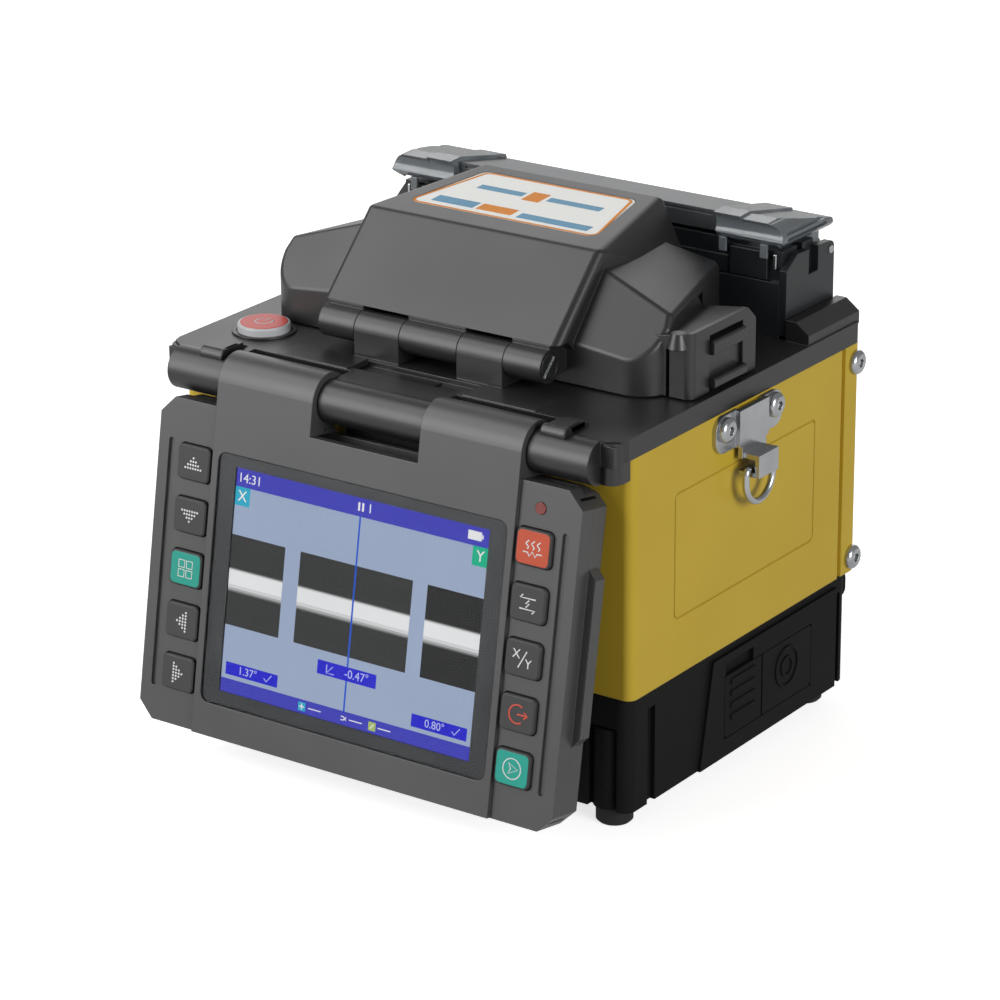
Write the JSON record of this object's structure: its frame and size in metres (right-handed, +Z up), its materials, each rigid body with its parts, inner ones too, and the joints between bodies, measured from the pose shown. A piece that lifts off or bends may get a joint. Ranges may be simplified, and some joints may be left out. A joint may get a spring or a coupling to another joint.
{
  "type": "fiber fusion splicer",
  "caption": "Bench and field fusion splicer for optical fibre: boxy case, hinged colour monitor with keys, hinged wind cover over the splicing stage, and a rear sleeve heater.",
  "frame": {"origin": "centre of the object's footprint box, on the surface its feet stand on", "axes": "+Z up, +X to the operator's right, -Y towards the operator and the monitor"},
  "size_m": [0.1764, 0.1616, 0.1617],
  "materials": {
    "black_plastic": "satin",
    "base_plastic": "textured",
    "yellow_paint": "satin",
    "rubber": "matte",
    "keys": "satin",
    "teal_key": "satin",
    "orange_key": "satin",
    "power_red": "satin",
    "glass": "clear",
    "lamp": "clear tinted",
    "display": "panel",
    "label": "printed film",
    "board": "solder mask",
    "stainless": "tumbled",
    "anodised": "anodised",
    "ceramic": "ground",
    "tungsten": "ground",
    "steel": "machined",
    "battery": "sleeved",
    "smoky_plastic": "smoky translucent",
    "grey_plastic": "satin"
  },
  "bodies": {
    "case": {"feet": "rubber", "base_tray": "base_plastic", "base_covers": "base_plastic", "case_shell": "yellow_paint", "rear_panel": "yellow_paint", "dc_socket": "black_plastic", "usb_socket": "stainless", "chassis": "anodised", "main_board": "board", "battery_pack": "battery", "top_deck": "black_plastic", "power_collar": "keys", "monitor_hinge_pin": "stainless", "splice_platform": "anodised", "groove_block": "ceramic", "objective_lenses": "glass", "electrode_clamps": "anodised", "electrodes": "tungsten", "stage_motors": "steel", "camera_modules": "anodised", "heater_housing": "black_plastic", "heating_plate": "anodised", "heater_ends": "black_plastic", "heater_pin": "stainless", "strap_brackets": "stainless", "case_screws": "stainless"},
    "power_button": {"power_button": "power_red"},
    "monitor": {"monitor_front": "black_plastic", "monitor_back": "black_plastic", "screen_glass": "glass", "display_module": "display", "status_lamp": "lamp", "keypad_boards": "board"},
    "wind_cover": {"wind_cover": "black_plastic", "label_plate": "label", "cover_pin": "stainless", "fibre_pressers": "grey_plastic"},
    "cover_latch": {"cover_latch": "black_plastic"},
    "stage_left": {"stage_carriage_left": "anodised", "fibre_holder_left": "anodised"},
    "stage_right": {"stage_carriage_right": "anodised", "fibre_holder_right": "anodised"},
    "holder_lid_left": {"holder_lid_left": "anodised"},
    "holder_lid_right": {"holder_lid_right": "anodised"},
    "heater_lid": {"heater_lid": "grey_plastic"},
    "heater_clamp_left": {"heater_clamp_left": "smoky_plastic"},
    "heater_clamp_right": {"heater_clamp_right": "smoky_plastic"},
    "d_ring_left": {"d_ring_left": "stainless"},
    "d_ring_right": {"d_ring_right": "stainless"},
    "key_up": {"key_up": "keys"},
    "key_down": {"key_down": "keys"},
    "key_menu": {"key_menu": "teal_key"},
    "key_left": {"key_left": "keys"},
    "key_right": {"key_right": "keys"},
    "key_heat": {"key_heat": "orange_key"},
    "key_arc": {"key_arc": "keys"},
    "key_axis": {"key_axis": "keys"},
    "key_reset": {"key_reset": "keys"},
    "key_start": {"key_start": "teal_key"}
  },
  "joints": [
    {"name": "monitor_hinge", "type": "hinge", "parent": "case", "child": "monitor", "pos_m": [0, -0.05443, 0.1159], "axis": [-1, 0, 0], "range_deg": [-9, 90]},
    {"name": "key_up_press", "type": "slide", "parent": "monitor", "child": "key_up", "axis": [0, -0.9855, 0.1697], "range_m": [-0.0006, 0], "stiffness_N_per_m": 300, "springref_m": 0.0002},
    {"name": "key_down_press", "type": "slide", "parent": "monitor", "child": "key_down", "axis": [0, -0.9855, 0.1697], "range_m": [-0.0006, 0], "stiffness_N_per_m": 300, "springref_m": 0.0002},
    {"name": "key_menu_press", "type": "slide", "parent": "monitor", "child": "key_menu", "axis": [0, -0.9855, 0.1697], "range_m": [-0.0006, 0], "stiffness_N_per_m": 300, "springref_m": 0.0002},
    {"name": "key_left_press", "type": "slide", "parent": "monitor", "child": "key_left", "axis": [0, -0.9855, 0.1697], "range_m": [-0.0006, 0], "stiffness_N_per_m": 300, "springref_m": 0.0002},
    {"name": "key_right_press", "type": "slide", "parent": "monitor", "child": "key_right", "axis": [0, -0.9855, 0.1697], "range_m": [-0.0006, 0], "stiffness_N_per_m": 300, "springref_m": 0.0002},
    {"name": "key_heat_press", "type": "slide", "parent": "monitor", "child": "key_heat", "axis": [0, -0.9855, 0.1697], "range_m": [-0.0006, 0], "stiffness_N_per_m": 300, "springref_m": 0.0002},
    {"name": "key_arc_press", "type": "slide", "parent": "monitor", "child": "key_arc", "axis": [0, -0.9855, 0.1697], "range_m": [-0.0006, 0], "stiffness_N_per_m": 300, "springref_m": 0.0002},
    {"name": "key_axis_press", "type": "slide", "parent": "monitor", "child": "key_axis", "axis": [0, -0.9855, 0.1697], "range_m": [-0.0006, 0], "stiffness_N_per_m": 300, "springref_m": 0.0002},
    {"name": "key_reset_press", "type": "slide", "parent": "monitor", "child": "key_reset", "axis": [0, -0.9855, 0.1697], "range_m": [-0.0006, 0], "stiffness_N_per_m": 300, "springref_m": 0.0002},
    {"name": "key_start_press", "type": "slide", "parent": "monitor", "child": "key_start", "axis": [0, -0.9855, 0.1697], "range_m": [-0.0006, 0], "stiffness_N_per_m": 300, "springref_m": 0.0002},
    {"name": "power_press", "type": "slide", "parent": "case", "child": "power_button", "axis": [0, 0, 1], "range_m": [-0.0008, 0], "stiffness_N_per_m": 300, "springref_m": 0.0003},
    {"name": "wind_cover_hinge", "type": "hinge", "parent": "case", "child": "wind_cover", "pos_m": [0, -0.02803, 0.1298], "axis": [1, 0, 0], "range_deg": [0, 90]},
    {"name": "stage_left_slide", "type": "slide", "parent": "case", "child": "stage_left", "axis": [1, 0, 0], "range_m": [-0.002, 0.002]},
    {"name": "holder_lid_left_pivot", "type": "hinge", "parent": "stage_left", "child": "holder_lid_left", "pos_m": [-0.026, 0.01827, 0.1265], "axis": [1, 0, 0], "range_deg": [0, 85]},
    {"name": "heater_clamp_left_pivot", "type": "hinge", "parent": "case", "child": "heater_clamp_left", "pos_m": [-0.06, 0.07437, 0.1439], "axis": [-1, 0, 0], "range_deg": [0, 100]},
    {"name": "d_ring_left_pivot", "type": "hinge", "parent": "case", "child": "d_ring_left", "pos_m": [-0.085, 0.01277, 0.0974], "axis": [0, 1, 0], "range_deg": [-12, 100]},
    {"name": "stage_right_slide", "type": "slide", "parent": "case", "child": "stage_right", "axis": [1, 0, 0], "range_m": [-0.002, 0.002]},
    {"name": "holder_lid_right_pivot", "type": "hinge", "parent": "stage_right", "child": "holder_lid_right", "pos_m": [0.026, 0.01827, 0.1265], "axis": [1, 0, 0], "range_deg": [0, 85]},
    {"name": "heater_clamp_right_pivot", "type": "hinge", "parent": "case", "child": "heater_clamp_right", "pos_m": [0.06, 0.07437, 0.1439], "axis": [-1, 0, 0], "range_deg": [0, 100]},
    {"name": "d_ring_right_pivot", "type": "hinge", "parent": "case", "child": "d_ring_right", "pos_m": [0.085, 0.01277, 0.0974], "axis": [0, -1, 0], "range_deg": [-12, 100]},
    {"name": "cover_latch_pivot", "type": "hinge", "parent": "wind_cover", "child": "cover_latch", "pos_m": [0.0766, 0.00497, 0.1362], "axis": [0, -1, 0], "range_deg": [0, 12], "stiffness_Nm_per_rad": 0.05, "springref_deg": -5.73},
    {"name": "heater_lid_pivot", "type": "hinge", "parent": "case", "child": "heater_lid", "pos_m": [0, 0.07437, 0.1439], "axis": [-1, 0, 0], "range_deg": [0, 100]}
  ]
}
